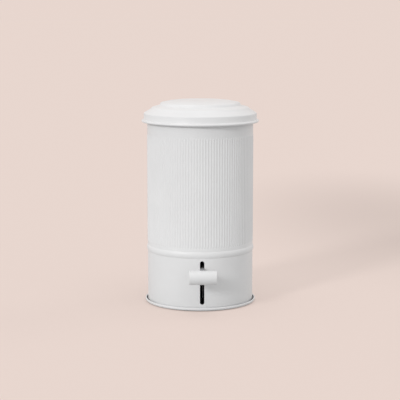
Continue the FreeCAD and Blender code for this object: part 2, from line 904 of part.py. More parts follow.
def tail_point(along, up):
    """A point on the lever's tail, which slopes down to the rod at rest."""
    across = pivot_setback + along * cosine(half_pedal) + up * sine(half_pedal)
    rise = pedal_height - along * sine(half_pedal) + up * cosine(half_pedal)
    return across, rise


def pedal_lever():
    """A pressed channel, open below: level in front of the pin and bent down behind it."""
    tip = -pedal_setback - size("tongue_reach")
    step = -pedal_setback + size("pedal_radius") + size("lever_shoulder")
    half_depth = half(lever_depth)
    half_tail = half(size("tail_depth"))
    low = pedal_height - half_depth
    high = pedal_height + half_depth
    wall = size("lever_wall")
    hook_far = tail_run / cosine(half_pedal)
    hole_radius = rod_radius + slide_clearance
    tail_reach = hook_far + hole_radius + size("tail_margin")
    outside = [
        Corner(tip, pedal_height - tongue_half),
        Corner(step, pedal_height - tongue_half),
        Corner(step, low),
        Corner(pivot_setback, low),
        Corner(*tail_point(tail_reach, -half_tail)),
        Corner(*tail_point(tail_reach, half_tail)),
        Corner(pivot_setback, high),
        Corner(step, high),
        Corner(step, pedal_height + tongue_half),
        Corner(tip, pedal_height + tongue_half),
    ]
    hollow = [
        Corner(step + wall, low - overrun),
        Corner(pivot_setback, low - overrun),
        Corner(*tail_point(tail_reach + overrun, -half_tail - overrun)),
        Corner(*tail_point(tail_reach + overrun, half_tail - wall)),
        Corner(pivot_setback, high - wall),
        Corner(step + wall, high - wall),
    ]
    body = new_body("pedal_lever")
    profile = new_sketch(body, "YZ_Plane")
    draw(profile, outside)
    pad(body, profile, lever_width, symmetric=True)
    channel = new_sketch(body, "YZ_Plane")
    draw(channel, hollow)
    pocket(body, channel, lever_width - wall * 2)
    holes = new_sketch(body, "YZ_Plane")
    draw_circle(holes, pivot_setback, pedal_height, bush_radius + seat_clearance)
    draw_circle(holes, -pedal_setback, pedal_height, size("axle_radius") + seat_clearance)
    draw(holes, stadium(tail_point(tail_run, ZERO), tail_point(hook_far, ZERO), hole_radius))
    pocket(body, holes, lever_width + overrun * 2)
    return body


def pedal_roll():
    """The roll underfoot, with its bore and the recess that takes the lever's tongue."""
    length = size("pedal_length")
    body = new_body("pedal_roll")
    profile = new_sketch(body, "YZ_Plane")
    draw_circle(profile, -pedal_setback, pedal_height, size("pedal_radius"))
    drum = pad(body, profile, length, symmetric=True)
    wall = drum.Shape.Faces[0]
    edges = enumerate(drum.Shape.Edges, start=1)
    ends = [f"Edge{index}" for index, edge in edges if not edge.isSeam(wall)]
    rounds = body.newObject("PartDesign::Fillet", "roll_rounds")
    rounds.Base = (drum, ends)
    bind(rounds, "Radius", size("pedal_round"))
    doc.recompute()
    bore = new_sketch(body, "YZ_Plane")
    draw_circle(bore, -pedal_setback, pedal_height, size("axle_radius") + seat_clearance)
    pocket(body, bore, length + overrun * 2)
    recess = new_sketch(body, "YZ_Plane")
    front = -pedal_setback - size("tongue_reach") - seat_clearance
    rear = -pedal_setback + size("pedal_radius") + overrun
    room = tongue_half + seat_clearance
    draw(recess, rectangle(front, rear, pedal_height - room, pedal_height + room))
    pocket(body, recess, lever_width + seat_clearance * 2)
    return body


def pedal_axle():
    reach = half(size("pedal_length")) - size("cap_depth")
    return cylinder("pedal_axle", size("axle_radius"), reach * 2, (-reach, -pedal_setback, pedal_height), "X")


def pedal_caps():
    """A plug in each end of the roll's bore, flush with the roll's end."""
    reach = half(size("pedal_length"))
    depth = size("cap_depth") - seat_clearance
    starts = (reach - depth, -reach)
    items = [
        cylinder(f"pedal_cap_{index}", size("axle_radius"), depth, (start, -pedal_setback, pedal_height), "X")
        for index, start in enumerate(starts)
    ]
    return group("pedal_caps", items)


def low_clip_start():
    return half(lever_width) + size("rod_side_gap")


def high_clip_start():
    return half(size("arm_thickness")) + size("rod_side_gap")


def push_rod():
    """A wire with a hook at each end that points to +X, through the lever's tail and the lid's arm."""
    bend = size("rod_bend")
    tip = size("clip_thickness") + size("pin_end")
    low_tip = low_clip_start() + tip
    high_tip = high_clip_start() + tip
    body = new_body("push_rod")
    path = new_sketch(body, "XZ_Plane", -rod_setback)
    line = [
        Corner(low_tip, hook_low),
        Corner(-rod_side, hook_low, bend=bend),
        Corner(-rod_side, hook_high, bend=bend),
        Corner(high_tip, hook_high),
    ]
    draw(path, line, closed=False)
    return pipe("push_rod", body, path, rod_radius, "YZ_Plane", (rod_setback, hook_low), low_tip)


def rod_clips():
    """A push-on clip on each hook of the rod."""
    inner = rod_radius + seat_clearance
    outer = rod_radius + size("clip_width")
    thickness = size("clip_thickness")
    low = washer("rod_clip_low", inner, outer, low_clip_start(), thickness, rod_setback, hook_low)
    high = washer("rod_clip_high", inner, outer, high_clip_start(), thickness, rod_setback, hook_high)
    return group("rod_clips", [low, high])


def hinge_brackets():
    """Two L brackets on the shell's rear: a flange bent to the shell and an ear for the pin."""
    ear = size("hinge_ear")
    line = [
        Corner(rim_middle, hinge_bracket_low),
        Corner(shell_radius + hinge_sheet * 2, hinge_bracket_low),
        Corner(hinge_setback, hinge_height - ear, bulge=ear),
        Corner(hinge_setback, hinge_height + ear),
        Corner(rim_middle, hinge_height + ear),
    ]
    fit_radius = shell_radius + seat_clearance
    wall_height = hinge_bracket_high - hinge_bracket_low
    items = []
    for index, side in enumerate((-1, 1)):
        ear_start = hinge_ear_inner if side > 0 else -hinge_ear_outer
        plate = prism(f"hinge_ear_{index}", "YZ_Plane", line, ear_start, hinge_sheet)
        sides = sorted(
            (hinge_ear_inner * side, (hinge_ear_outer + size("hinge_flange")) * side),
            key=value_of,
        )
        bent_radius = fit_radius + hinge_sheet
        bent = ring(f"hinge_bend_{index}", fit_radius, bent_radius, hinge_bracket_low, wall_height)
        span = box(
            f"hinge_span_{index}",
            (sides[0], ZERO, hinge_bracket_low),
            (sides[1], hinge_setback, hinge_bracket_high),
        )
        flange = common(f"hinge_flange_{index}", bent, span)
        items.append(fuse(f"hinge_blank_{index}", [plate, flange]))
    clear = cylinder("hinge_clear", fit_radius, shell_top, (ZERO, ZERO, ZERO))
    bore_spot = (-hinge_ear_outer - overrun, hinge_setback, hinge_height)
    bore_length = (hinge_ear_outer + overrun) * 2
    bore = cylinder("hinge_bore", hinge_pin_radius + seat_clearance, bore_length, bore_spot, "X")
    blanks = group("hinge_blanks", items)
    trimmed = cut("hinge_trimmed", blanks, [clear])
    return cut("hinge_brackets", trimmed, [bore] + rivet_holes("hinge_hole", hinge_rivet_places()))


def hinge_pin():
    """A pin with a head at each end, outside the ears."""
    reach = hinge_ear_outer + seat_clearance
    head = size("hinge_pin_head")
    height = size("hinge_head_height")
    shank_spot = (-reach, hinge_setback, hinge_height)
    shank = cylinder("hinge_shank", hinge_pin_radius, reach * 2, shank_spot, "X")
    starts = (reach, -reach - height)
    heads = [
        cylinder(f"hinge_head_{index}", head, height, (start, hinge_setback, hinge_height), "X")
        for index, start in enumerate(starts)
    ]
    return fuse("hinge_pin", [shank] + heads)


def lid_shell():
    """The pressed lid: skirt with a rolled edge, sloping shoulder, two steps and a flat crown."""
    bead = size("lid_bead")
    foot_bend = size("step_foot_bend")
    top_bend = size("step_top_bend")
    bead_centre = lid_edge + bead
    line = [
        Corner(ZERO, lid_shoulder + size("lid_rise")),
        Corner(size("flat_radius"), lid_shoulder + size("lid_rise"), bend=size("crown_bend")),
        Corner(size("crown_radius"), lid_shoulder + size("crown_rise"), bend=size("crown_bend")),
        Corner(size("second_top_radius"), lid_shoulder + size("second_top_rise"), bend=top_bend),
        Corner(size("second_foot_radius"), lid_shoulder + size("second_foot_rise"), bend=foot_bend),
        Corner(size("first_top_radius"), lid_shoulder + size("first_top_rise"), bend=top_bend),
        Corner(size("first_foot_radius"), lid_shoulder + size("first_foot_rise"), bend=foot_bend),
        Corner(lid_radius, lid_shoulder, bend=size("shoulder_bend")),
        Corner(lid_radius, bead_centre),
    ]
    pressing = formed("lid_pressing", line, sheet_gauge)
    roll = torus("lid_roll", lid_radius + bead - half(sheet_gauge), bead, bead_centre)
    blank = fuse("lid_blank", [pressing, roll])
    return cut("lid_shell", blank, rivet_holes("lid_hole", lid_rivet_places()))


def arm_point(along, up):
    """A point on the lid's inner arm, which slopes down to the rod while the lid is shut."""
    across = hinge_setback - along * cosine(half_lid) + up * sine(half_lid)
    rise = hinge_height - along * sine(half_lid) - up * cosine(half_lid)
    return across, rise


def lid_hinge_arm():
    """The lid's hinge: a barrel on the pin, a strap inside the skirt and the arm with the rod's slot."""
    barrel_half = half(size("barrel_length"))
    barrel = cylinder(
        "arm_barrel", size("barrel_radius"), barrel_half * 2, (-barrel_half, hinge_setback, hinge_height), "X"
    )
    half_arm = half(size("arm_thickness"))
    arm_line = stadium((hinge_setback, hinge_height), arm_point(arm_far, ZERO), arm_half)
    arm = prism("arm_plate", "YZ_Plane", arm_line, -half_arm, half_arm * 2)
    half_strap = half(size("strap_width"))
    strap_line = [
        Corner(-barrel_half, hinge_height),
        Corner(barrel_half, hinge_height),
        Corner(barrel_half, strap_low),
        Corner(half_strap, strap_low),
        Corner(half_strap, strap_high),
        Corner(-half_strap, strap_high),
        Corner(-half_strap, strap_low),
        Corner(-barrel_half, strap_low),
    ]
    strap_flat = prism("strap_flat", "XZ_Plane", strap_line, -lid_radius, lid_radius)
    strap_bend = ring("strap_bend", strap_inner, strap_outer, hinge_height, strap_high - hinge_height)
    strap = common("arm_strap", strap_bend, strap_flat)
    blank = fuse("arm_blank", [barrel, arm, strap])
    bore_spot = (-barrel_half - overrun, hinge_setback, hinge_height)
    bore_length = (barrel_half + overrun) * 2
    bore = cylinder("arm_bore", hinge_pin_radius + turn_clearance, bore_length, bore_spot, "X")
    slot_line = stadium(arm_point(crank_throw, ZERO), arm_point(arm_far, ZERO), arm_slot_half)
    slot = prism("arm_slot", "YZ_Plane", slot_line, -half_arm - overrun, (half_arm + overrun) * 2)
    return cut("lid_hinge_arm", blank, [bore, slot] + rivet_holes("arm_hole", lid_rivet_places()))


def lid_buffers():
    """Rubber buffers under the lid's shoulder, cut to its slope, that meet the shell's rim."""
    radius = size("buffer_radius")
    bottom = shell_top + rest_gap
    rise = size("first_foot_rise")
    run = lid_radius - size("first_foot_radius")
    slope = root(run * run + rise * rise)
    drop = (sheet_gauge + seat_clearance) * slope / run
    cone = doc.addObject("Part::Cone", "buffer_cone")
    bind(cone, "Radius1", lid_radius)
    bind(cone, "Radius2", size("first_foot_radius"))
    bind(cone, "Height", rise)
    place(cone, (ZERO, ZERO, lid_shoulder - drop), TURNS["Z"])
    above = cylinder("buffer_above", lid_radius + overrun, rise, (ZERO, ZERO, lid_shoulder - drop))
    lid_side = cut("buffer_lid_side", above, [cone])
    items = []
    count = int(value_of(size("buffer_count")))
    for index in range(count):
        azimuth = math.radians(FULL_TURN * index / count)
        spot = (rim_middle * math.sin(azimuth), rim_middle * -math.cos(azimuth), bottom)
        items.append(cylinder(f"buffer_{index}", radius, lid_shoulder - bottom + half(rise), spot))
    return cut("lid_buffers", group("buffer_blanks", items), [lid_side])


def inner_bucket():
    """A tapered bucket with a turned-down rim and a lug on each side for the bail."""
    base = size("bucket_base_radius")
    base_bend = size("bucket_base_bend")
    lip_low = bucket_top - size("rim_depth")
    outside = [
        Corner(ZERO, bucket_bottom),
        Corner(base, bucket_bottom, bend=base_bend),
        Corner(bucket_neck, bucket_shoulder),
        Corner(bucket_rim - bucket_wall, bucket_shoulder),
        Corner(bucket_rim - bucket_wall, lip_low),
        Corner(bucket_rim, lip_low),
        Corner(bucket_rim, bucket_top, bend=size("rim_bend")),
    ]
    inside = [
        Corner(bucket_neck - bucket_wall, bucket_top, bend=size("rim_bend")),
        Corner(base - bucket_wall, bucket_bottom + bucket_wall, bend=base_bend - bucket_wall),
        Corner(ZERO, bucket_bottom + bucket_wall),
    ]
    tub = turned("bucket_tub", outside + inside)
    half_lug = half(size("lug_width"))
    half_height = half(size("lug_height"))
    root_side = lug_root - half(bucket_wall)
    items = [tub]
    holes = []
    for index, side in enumerate((-1, 1)):
        sides = sorted((root_side * side, lug_face * side), key=value_of)
        items.append(box(
            f"bucket_lug_{index}",
            (sides[0], -half_lug, bail_height - half_height),
            (sides[1], half_lug, bail_height + half_height),
        ))
        start = lug_root if side > 0 else -lug_root - overrun * 2
        holes.append(cylinder(
            f"lug_hole_{index}", bail_radius + slide_clearance, overrun * 2, (start, ZERO, bail_height), "X"
        ))
    return cut("inner_bucket", fuse("bucket_blank", items), holes)


def bucket_bail():
    """A wire handle that hangs in front of the bucket, with its ends turned into the lugs."""
    corner = size("bail_corner")
    end = lug_root + rest_gap
    sweep = bail_reach - size("bail_flat")
    body = new_body("bucket_bail")
    path = new_sketch(body, "XY_Plane")
    line = [
        Corner(-end, ZERO),
        Corner(-bail_reach, ZERO, bend=corner),
        Corner(-bail_reach, -bail_reach, bend=sweep),
        Corner(bail_reach, -bail_reach, bend=sweep),
        Corner(bail_reach, ZERO, bend=corner),
        Corner(end, ZERO),
    ]
    draw(path, line, closed=False)
    pipe("bucket_bail", body, path, bail_radius, "YZ_Plane", (ZERO, ZERO), -end)
    hang = FreeCAD.Rotation(FreeCAD.Vector(1, 0, 0), value_of(size("bail_hang_angle")))
    return place(body, (ZERO, ZERO, bail_height), hang)


PARTS = (
    foot_ring(),
    base_pan(),
    body_shell(),
    bucket_shelf(),
    rod_grommet(),
    rod_guide(),
    pivot_bracket(),
    pivot_pin(),
    pivot_clips(),
    rivets("bracket_rivets", bracket_rivet_places()),
    hinge_brackets(),
    hinge_pin(),
    rivets("hinge_rivets", hinge_rivet_places()),
    lid_shell(),
    lid_hinge_arm(),
    rivets("lid_rivets", lid_rivet_places()),
    lid_buffers(),
    pedal_lever(),
    pivot_bush(),
    pedal_roll(),
    pedal_axle(),
    pedal_caps(),
    push_rod(),
    rod_clips(),
    inner_bucket(),
    bucket_bail(),
)

doc.recompute()
for item in doc.Objects:
    if "Invalid" in item.State or "Error" in item.State:
        raise RuntimeError(f"{item.Label} failed: {item.State}")
for item in PARTS:
    if item.Shape.isNull() or not item.Shape.isValid() or not item.Shape.Solids:
        raise RuntimeError(f"{item.Label} has no valid solid")

os.makedirs("parts", exist_ok=True)
for item in PARTS:
    item.Shape.exportStep(f"parts/{item.Label}.step")
    solids = item.Shape.Solids
    print(f"{item.Label}: {len(solids)} solid(s), {item.Shape.Volume:.1f} mm3")
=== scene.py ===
import json
import math

import bmesh
import bpy
from mathutils import Matrix


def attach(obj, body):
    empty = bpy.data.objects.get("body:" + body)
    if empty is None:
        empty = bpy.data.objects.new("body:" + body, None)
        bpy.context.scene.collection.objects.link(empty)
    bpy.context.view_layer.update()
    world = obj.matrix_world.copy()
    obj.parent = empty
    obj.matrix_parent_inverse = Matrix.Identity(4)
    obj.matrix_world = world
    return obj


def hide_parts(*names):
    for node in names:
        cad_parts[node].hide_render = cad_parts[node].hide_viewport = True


# A white pedal bin on a pale floor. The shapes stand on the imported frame, in metres:
# the origin is on the floor at the bin's axis, +Z is up and the pedal points to -Y.

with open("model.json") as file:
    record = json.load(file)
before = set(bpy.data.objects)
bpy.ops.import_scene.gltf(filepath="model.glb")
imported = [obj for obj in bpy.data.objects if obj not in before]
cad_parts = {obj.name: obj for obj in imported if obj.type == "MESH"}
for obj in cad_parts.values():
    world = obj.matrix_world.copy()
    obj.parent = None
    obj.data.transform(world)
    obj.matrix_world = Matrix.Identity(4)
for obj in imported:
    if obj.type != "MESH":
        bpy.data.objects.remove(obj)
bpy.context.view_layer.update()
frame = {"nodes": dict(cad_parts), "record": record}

MM = 0.001
TAU = 2 * math.pi
QUARTER_TURN = TAU / 4

# How finely bends and rounds are made, and which edges stay sharp.
MERGE_DISTANCE = 0.002 * MM
SHARP_ANGLE = math.radians(38)
FLAT_ANGLE = math.radians(0.5)
BEND_STEP = math.radians(9)
SMALL_BEND = 2 * MM
SMALL_BEND_STEP = math.radians(30)
LEAST_BEND_SEGMENTS = 3
SOFT_SEGMENTS = 2
ROUND_STEPS = 240
MOST_SIDES = 4

# The ring that the bin stands on: radii from the axis, heights above the floor.
FOOT_INNER = 92 * MM
FOOT_OUTER = 108 * MM
FOOT_TOP = 1.5 * MM
FOOT_EDGE = 0.5 * MM
FOOT_GROOVES = (96 * MM, 100 * MM, 104 * MM)
FOOT_GROOVE_HALF = 0.6 * MM
FOOT_GROOVE_DEPTH = 0.5 * MM

# The pan on that ring, of the same sheet as the shell and the lid.
SHEET = 0.8 * MM
CURL_FILLET = 0.3 * MM
PAN_BOTTOM = FOOT_TOP
PAN_FLOOR = PAN_BOTTOM + SHEET
PAN_WALL_OUTER = 114.4 * MM
PAN_WALL_INNER = PAN_WALL_OUTER - SHEET
PAN_BEND = 2 * MM
PAN_RADIUS = 115.2 * MM
PAN_TOP = 7.5 * MM
PAN_CURL_WIDTH = 2.4 * MM
PAN_CURL_INNER = PAN_RADIUS - PAN_CURL_WIDTH
PAN_CURL_LOW = 4 * MM
PAN_CURL_BEND = 1.19 * MM
PAN_CURL_FOOT_BEND = 0.45 * MM

# The shell that stands in the pan, with its hoop, ribs, curled rim, slot and window.
SHELL_RADIUS = 110 * MM
SHELL_FOOT = PAN_FLOOR
SHELL_FLANGE = 103 * MM
SHELL_FOOT_BEND = 1.0 * MM
SHELL_TOP = 391 * MM
RIM_CURL = 1.4 * MM
RIM_CURL_FOOT_BEND = 0.98 * MM
HOOP_HEIGHT = 115.2 * MM
HOOP_HALF = 6.6 * MM
HOOP_PEAK = 3.81 * MM
HOOP_BEND = 12.3 * MM
HOOP_ROOT = 1.5 * MM
RIB_COUNT = 120
RIB_COLUMNS = 10
RIB_END_ROWS = 5
RIB_LOW = 129.1 * MM
RIB_HIGH = 352.4 * MM
RIB_HALF = 2.25 * MM
RIB_LIFT = 0.45 * MM
RIB_SINK = 0.4 * MM
SLOT_WIDTH = 9.0 * MM
SLOT_LOW = 13.67 * MM
SLOT_HIGH = 103.7 * MM
WINDOW_WIDTH = 5 * MM
WINDOW_LOW = 354.7 * MM
WINDOW_HIGH = 385.3 * MM
CUT_DEPTH = 20 * MM
CUT_SEGMENTS = 40

# The lid's outer skin from its middle to its rolled edge: radius, height and bend in millimetres.
LID_SKIN = (
    (0, 422.9, 0),
    (30, 422.9, 60),
    (60, 422, 60),
    (82.2, 417.7, 4),
    (84.5, 412.2, 2),
    (100, 408.1, 4),
    (103.5, 404.5, 2),
    (117.2, 396.2, 3),
    (117.2, 382.6, 0.8),
    (121.8, 382.6, 2.49),
    (121.8, 377.6, 2.49),
    (116.8, 377.6, 2.49),
    (116.8, 380.6, 0),
)

# The pedal's roll, its plugs and the recess for the lever.
PEDAL_SETBACK = 156 * MM
PEDAL_HEIGHT = 79 * MM
PEDAL_RADIUS = 14 * MM
PEDAL_HALF = 27.5 * MM
PEDAL_EDGE = 0.8 * MM
PEDAL_BORE = 4.05 * MM
PEDAL_BORE_EDGE = 0.5 * MM
PEDAL_STEPS = 96
PLUG_RADIUS = 4.0 * MM
PLUG_DEPTH = 2.9 * MM
PLUG_EDGE = 0.7 * MM
PLUG_STEPS = 48
DIMPLE_RADIUS = 2 * MM
DIMPLE_FLOOR_RADIUS = 1 * MM
DIMPLE_BEND = 0.35 * MM
RECESS_WIDTH = 7.3 * MM
RECESS_DEPTH = 14.1 * MM
RECESS_FRONT = 5.55 * MM

# The bucket, its turned-down lip and the lugs for the bail.
BUCKET_BOTTOM = 117.1 * MM
BUCKET_TOP = 347.04 * MM
BUCKET_BASE = 78 * MM
BUCKET_BASE_BEND = 8 * MM
BUCKET_WALL = 1.8 * MM
BUCKET_NECK = 89.34 * MM
BUCKET_RIM = BUCKET_NECK + BUCKET_WALL * 2
BUCKET_LIP_DEPTH = 7 * MM
BUCKET_EDGE = 0.8 * MM
LIP_EDGE = 0.4 * MM
LUG_HEIGHT = 336.04 * MM
LUG_HALF_WIDTH = 6 * MM
LUG_HALF_RISE = 5.5 * MM
LUG_ROOT = 87.4 * MM
LUG_FACE = 93.14 * MM
LUG_EDGE = 1.2 * MM
LUG_EDGE_SEGMENTS = 4

# Frame nodes that keep their shape, with softer edges: node, name, body, slot and edge in millimetres.
SOFTENED = (
    ("pedal_lever", "pressed_lever", "pedal", "zinc_steel", 0.5),
    ("hinge_brackets", "hinge_ears", "bin", "zinc_steel", 0.4),
    ("hinge_pin", "headed_pin", "bin", "zinc_steel", 0.4),
    ("hinge_rivets", "shell_rivets", "bin", "zinc_steel", 0.4),
    ("lid_hinge_arm", "hinge_strap", "lid", "zinc_steel", 0.3),
    ("lid_rivets", "strap_rivets", "lid", "zinc_steel", 0.4),
    ("lid_buffers", "soft_buffers", "lid", "black_rubber", 0.6),
    ("rod_guide", "guide_block", "bin", "black_plastic", 0.6),
    ("push_rod", "bent_rod", "rod", "zinc_steel", 0),
    ("bucket_bail", "wire_bail", "bail", "zinc_steel", 0),
)

# The finishes: dark and light colour, least and most roughness, and the patterns that shade between them.
PATTERN_LOW = 0.3
PATTERN_HIGH = 0.7
SATIN_SPECULAR = 0.4

# Powder coat on the shell, the pan and the lid.
COAT_COLOURS = ((0.815, 0.817, 0.82), (0.84, 0.842, 0.845))
COAT_CLOUD = {"size": 60 * MM, "detail": 3.0}
COAT_GLOSS = {"size": 14 * MM}
COAT_ROUGHNESS = (0.36, 0.46)
COAT_PEEL = {"size": 1.1 * MM, "detail": 1.0}
COAT_RELIEF = {"depth": 0.05 * MM, "strength": 0.35}

# Painted shade in the gutter between shell and pan: where it starts to show and where it is full.
GUTTER_SHADE_COLOUR = (0.27, 0.265, 0.26)
GUTTER_INNER = (108.8 * MM, 109 * MM)
GUTTER_OUTER = (114 * MM, 113.7 * MM)
GUTTER_TOP = (6.4 * MM, 4.8 * MM)

# White plastic of the pedal.
MOULDED_COLOURS = ((0.775, 0.777, 0.78), (0.8, 0.802, 0.805))
MOULDED_CLOUD = {"size": 18 * MM, "stretch": (0.3, 1, 1)}
MOULDED_GLOSS = {"size": 6 * MM}
MOULDED_ROUGHNESS = (0.38, 0.48)
MOULDED_GRAIN = {"size": 0.4 * MM, "detail": 1.0}
MOULDED_RELIEF = {"depth": 0.02 * MM, "strength": 0.3}

# Zinc-plated steel of the lever, the hinge, the rod, the bail and the shelf.
ZINC_COLOURS = ((0.58, 0.62, 0.65), (0.68, 0.715, 0.74))
ZINC_CLOUD = {"size": 11 * MM}
ZINC_SCRATCH = {"size": 1.2 * MM, "detail": 3.0, "stretch": (1, 0.06, 1)}
ZINC_ROUGHNESS = (0.42, 0.6)
ZINC_RELIEF = {"depth": 0.02 * MM, "strength": 0.15}

# Black plastic of the bucket, the rod's guide and the bushes.
BLACK_COLOURS = ((0.017, 0.017, 0.018), (0.028, 0.028, 0.029))
BLACK_CLOUD = {"size": 40 * MM, "detail": 3.0}
BLACK_GLOSS = {"size": 9 * MM}
BLACK_ROUGHNESS = (0.42, 0.56)
BLACK_GRAIN = {"size": 0.8 * MM}
BLACK_RELIEF = {"depth": 0.05 * MM, "strength": 0.5}

# Rubber of the foot ring and the lid's buffers.
RUBBER_COLOURS = ((0.018, 0.018, 0.018), (0.042, 0.041, 0.04))
RUBBER_BLOOM = {"size": 5 * MM, "detail": 4.0}
RUBBER_ROUGHNESS = (0.75, 0.9)
RUBBER_GRAIN = {"size": 0.7 * MM, "detail": 3.0}
RUBBER_RELIEF = {"depth": 0.06 * MM, "strength": 0.5}
RUBBER_SPECULAR = 0.25

# The floor and the light. The floor is warm and pale to the eye, and lights the bin with a plain grey.
FLOOR_RADIUS = 60.0
FLOOR_TINT = (0.825, 0.692, 0.636)
FLOOR_GREY = (0.5, 0.5, 0.5)
FLOOR_GLOW = 0.42
HORIZON_LEVEL = 0.9735
AMBIENT = (0.68, 0.68, 0.68)

# A broad soft shade on the floor, behind the bin at the right.
SHADE_CENTRE = (0.6, 1.1, 0)
SHADE_REACH = (0.63, 1.25, 1)
SHADE_DEPTH = 0.36

# Lamps: degrees to the left of the front, degrees above the floor, energy and width in degrees.
LAMPS = {
    "key": (41, 21, 1.08, 11),
    "fill": (-116, 24, 0.24, 30),
    "top": (-40, 80, 0.4, 50),
}

# The camera: in front, a little to the left, above the lid and tipped down.
CAMERA_DISTANCE = 2.706
CAMERA_HEIGHT = 0.6123
CAMERA_TURN = math.radians(-2.05)
CAMERA_PITCH = math.radians(8.396)
CAMERA_AIM = math.radians(0.0097)
CAMERA_LENS = 117.48
CAMERA_SENSOR = 36


def rounded_wire(bm, corners, closed):
    """A line in the XZ plane through corners of radius, height and bend, each rounded to its bend."""
    verts = [bm.verts.new((radius, 0.0, height)) for radius, height, _ in corners]
    ends = verts[1:] + verts[:1] if closed else verts[1:]
    for start, end in zip(verts, ends):
        bm.edges.new((start, end))
    places = [vert.co.copy() for vert in verts]
    for index, (_, _, bend) in enumerate(corners):
        if not bend:
            continue
        way_in = places[index] - places[index - 1]
        way_out = places[(index + 1) % len(places)] - places[index]
        turn = way_in.angle(way_out)
        step = BEND_STEP if bend > SMALL_BEND else SMALL_BEND_STEP
        bmesh.ops.bevel(
            bm,
            geom=[verts[index]],
            offset=bend * math.tan(turn / 2),
            offset_type="OFFSET",
            segments=max(LEAST_BEND_SEGMENTS, round(turn / step)),
            profile=0.5,
            affect="VERTICES",
            material=-1,
        )


def close_up(bm):
    """Merge doubles and point the faces outwards."""
    bmesh.ops.remove_doubles(bm, verts=bm.verts[:], dist=MERGE_DISTANCE)
    bmesh.ops.recalc_face_normals(bm, faces=bm.faces[:])


def spin_round(bm, steps=ROUND_STEPS):
    """Turn all that the mesh holds once round the upright axis and close it."""
    bmesh.ops.spin(
        bm,
        geom=bm.verts[:] + bm.edges[:],
        cent=(0, 0, 0),
        axis=(0, 0, 1),
        dvec=(0, 0, 0),
        angle=TAU,
        steps=steps,
        use_merge=True,
        use_normal_flip=False,
        use_duplicate=False,
    )
    close_up(bm)


def smooth_shading(bm):
    """Smooth faces, with an edge kept sharp where two of them meet at an angle."""
    for face in bm.faces:
        face.smooth = True
    for edge in bm.edges:
        edge.smooth = edge.calc_face_angle(0.0) < SHARP_ANGLE


def new_object(name, bm):
    """A new object in the scene that takes over the mesh."""
    mesh = bpy.data.meshes.new(name)
    bm.to_mesh(mesh)
    bm.free()
    piece = bpy.data.objects.new(name, mesh)
    bpy.context.scene.collection.objects.link(piece)
    return piece


def apply_modifiers(piece):
    """Give the piece the mesh that its modifiers make."""
    settled = piece.evaluated_get(bpy.context.evaluated_depsgraph_get())
    mesh = bpy.data.meshes.new_from_object(settled)
    piece.modifiers.clear()
    piece.data = mesh


def combine(piece, other, operation):
    """Cut another mesh out of the piece, or join it on."""
    modifier = piece.modifiers.new("combine", "BOOLEAN")
    modifier.operation = operation
    modifier.solver = "EXACT"
    modifier.object = other
    bpy.context.view_layer.update()
    apply_modifiers(piece)
    bpy.data.objects.remove(other)


def settle(piece):
    """Merge what a cut or a join left double, split its many-sided faces and shade it."""
    bm = bmesh.new()
    bm.from_mesh(piece.data)
    bmesh.ops.remove_doubles(bm, verts=bm.verts[:], dist=MERGE_DISTANCE)
    many_sided = [face for face in bm.faces if len(face.verts) > MOST_SIDES]
    bmesh.ops.triangulate(bm, faces=many_sided, quad_method="BEAUTY", ngon_method="BEAUTY")
    smooth_shading(bm)
    bm.to_mesh(piece.data)
    bm.free()


def block(size, place):
    """A bmesh of a box of a size with its middle at a place."""
    bm = bmesh.new()
    bmesh.ops.create_cube(bm, size=1.0)
    bmesh.ops.scale(bm, verts=bm.verts[:], vec=size)
    bmesh.ops.translate(bm, verts=bm.verts[:], vec=place)
    return bm


def stadium_cutter(width, low, high, setback):
    """An upright long hole with round ends, through the wall at a setback."""
    bm = bmesh.new()
    radius = width / 2
    bmesh.ops.create_circle(bm, cap_ends=True, segments=CUT_SEGMENTS, radius=radius)
    upright = Matrix.Rotation(QUARTER_TURN, 3, "X")
    bmesh.ops.rotate(bm, verts=bm.verts[:], cent=(0, 0, 0), matrix=upright)
    upper = [vert for vert in bm.verts if vert.co.z > MERGE_DISTANCE]
    lower = [vert for vert in bm.verts if vert.co.z <= MERGE_DISTANCE]
    bmesh.ops.translate(bm, verts=upper, vec=(0, 0, high - radius))
    bmesh.ops.translate(bm, verts=lower, vec=(0, 0, low + radius))
    bmesh.ops.translate(bm, verts=bm.verts[:], vec=(0, setback - CUT_DEPTH / 2, 0))
    made = bmesh.ops.extrude_face_region(bm, geom=bm.faces[:])
    far = [item for item in made["geom"] if isinstance(item, bmesh.types.BMVert)]
    bmesh.ops.translate(bm, verts=far, vec=(0, CUT_DEPTH, 0))
    close_up(bm)
    return new_object("cutter", bm)


def rib_rows():
    """Heights of the rows that shape the ribs' two round ends."""
    step = RIB_HALF / RIB_END_ROWS
    rows = [RIB_LOW + step * index for index in range(RIB_END_ROWS + 1)]
    rows += [RIB_HIGH - step * index for index in range(RIB_END_ROWS, -1, -1)]
    return rows


def lift_ribs(bm):
    """Raise a half rib with round ends along each side of the sector, and sink the groove between."""
    for vert in bm.verts:
        radius = math.hypot(vert.co.x, vert.co.y)
        if abs(radius - SHELL_RADIUS) > MERGE_DISTANCE or not RIB_LOW < vert.co.z < RIB_HIGH:
            continue
        azimuth = math.atan2(vert.co.y, vert.co.x)
        aside = min(azimuth, TAU / RIB_COUNT - azimuth) * SHELL_RADIUS
        below = max(0.0, RIB_LOW + RIB_HALF - vert.co.z)
        above = max(0.0, vert.co.z - RIB_HIGH + RIB_HALF)
        away = min(1.0, math.hypot(aside, below, above) / RIB_HALF)
        sunk = min(1.0, min(vert.co.z - RIB_LOW, RIB_HIGH - vert.co.z) / RIB_HALF)
        lift = (RIB_LIFT + RIB_SINK) * math.cos(away * QUARTER_TURN) ** 2 - RIB_SINK * sunk
        scale = (radius + lift) / radius
        vert.co.x *= scale
        vert.co.y *= scale


